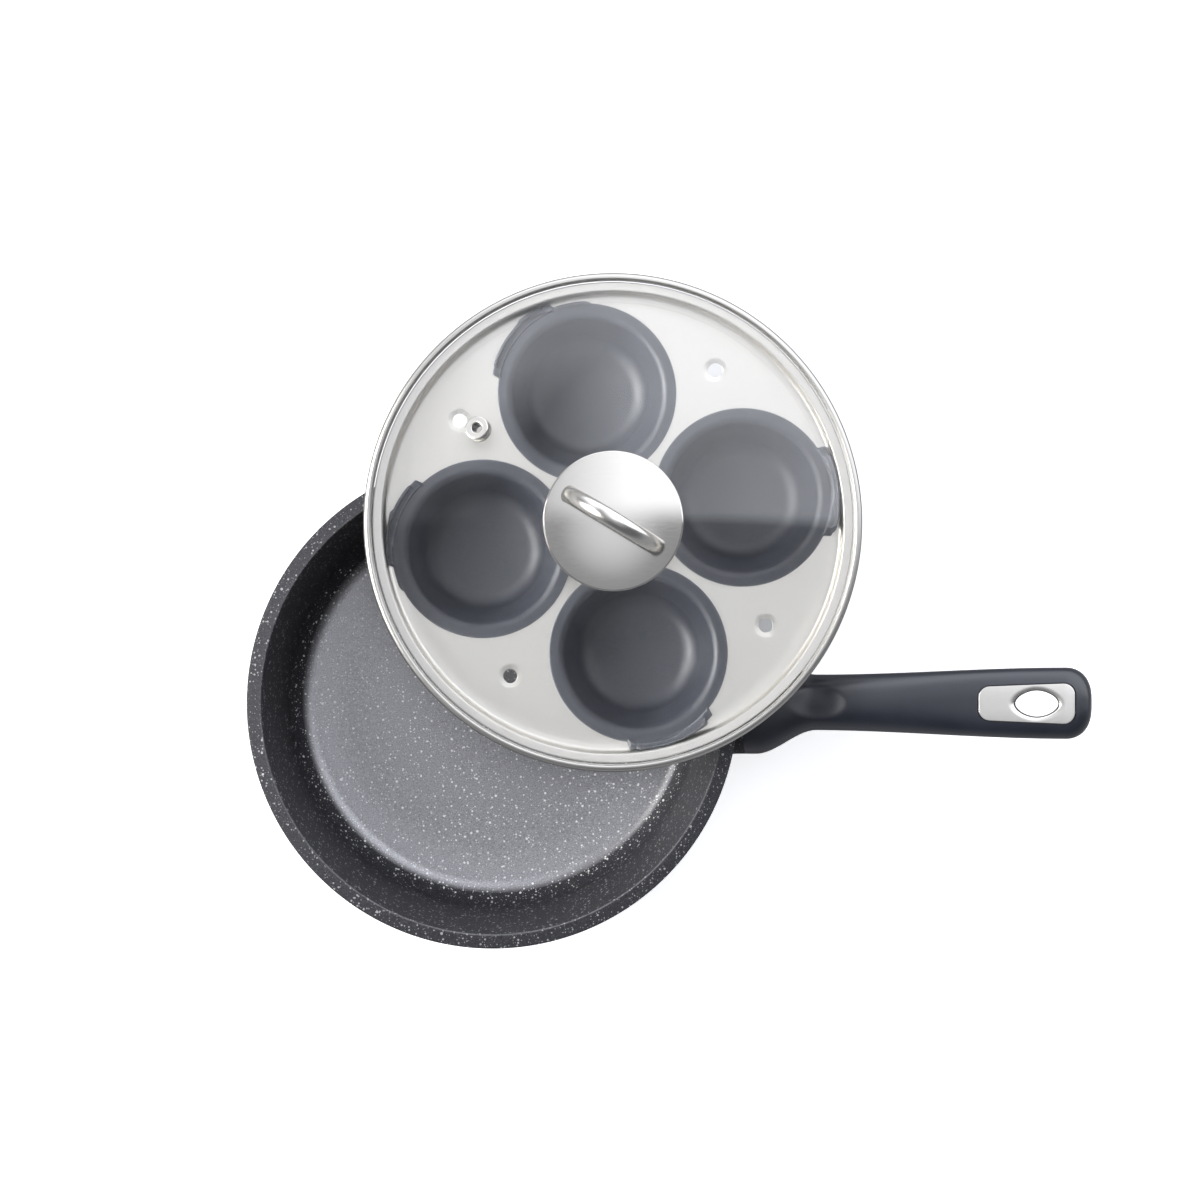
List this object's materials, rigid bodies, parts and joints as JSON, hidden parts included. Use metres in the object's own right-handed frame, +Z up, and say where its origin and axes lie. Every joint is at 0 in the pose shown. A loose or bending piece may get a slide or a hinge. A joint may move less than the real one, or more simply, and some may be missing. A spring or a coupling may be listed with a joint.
{
  "type": "egg poacher pan",
  "caption": "Speckled non-stick pan with a capped handle, a steel poaching tray of lift-out egg cups lying on its rim, and a domed glass lid with a loop knob.",
  "frame": {"origin": "centre of the pan's base, on the plane it rests on", "axes": "+X along the handle away from the pan, +Z up"},
  "size_m": [0.3445, 0.2736, 0.1206],
  "materials": {
    "stone_coating": "matt non-stick with pale specks",
    "base_steel": "turned satin",
    "handle_plastic": "matt",
    "handle_soft": "soft-touch matt",
    "polished_steel": "polished",
    "tray_steel": "satin",
    "cup_coating": "fine-grained matt non-stick",
    "lid_glass": "clear",
    "seal_rubber": "matt",
    "screw_steel": "plain"
  },
  "bodies": {
    "pan": {"pan_body": "stone_coating", "base_disc": "base_steel", "handle_core": "handle_plastic", "handle_grip": "handle_soft", "handle_end_insert": "polished_steel", "handle_screw": "screw_steel"},
    "tray": {"tray": "tray_steel"},
    "lid": {"lid_glass": "lid_glass", "lid_rim": "polished_steel", "lid_vent_eyelet": "polished_steel", "knob_disc": "polished_steel", "knob_loop": "polished_steel", "knob_gasket": "seal_rubber", "knob_seal": "seal_rubber", "knob_washer": "screw_steel", "knob_screw": "screw_steel"},
    "cup_1": {"cup_1": "cup_coating"},
    "cup_2": {"cup_2": "cup_coating"},
    "cup_3": {"cup_3": "cup_coating"},
    "cup_4": {"cup_4": "cup_coating"}
  },
  "joints": [
    {"name": "tray_lift", "type": "slide", "parent": "pan", "child": "tray", "axis": [0, 0, 1], "range_m": [0, 0.1]},
    {"name": "lid_lift", "type": "slide", "parent": "tray", "child": "lid", "axis": [0, 0, 1], "range_m": [0, 0.12]},
    {"name": "cup_1_lift", "type": "slide", "parent": "tray", "child": "cup_1", "axis": [0, 0, 1], "range_m": [0, 0.006]},
    {"name": "cup_2_lift", "type": "slide", "parent": "tray", "child": "cup_2", "axis": [0, 0, 1], "range_m": [0, 0.006]},
    {"name": "cup_3_lift", "type": "slide", "parent": "tray", "child": "cup_3", "axis": [0, 0, 1], "range_m": [0, 0.006]},
    {"name": "cup_4_lift", "type": "slide", "parent": "tray", "child": "cup_4", "axis": [0, 0, 1], "range_m": [0, 0.006]}
  ]
}
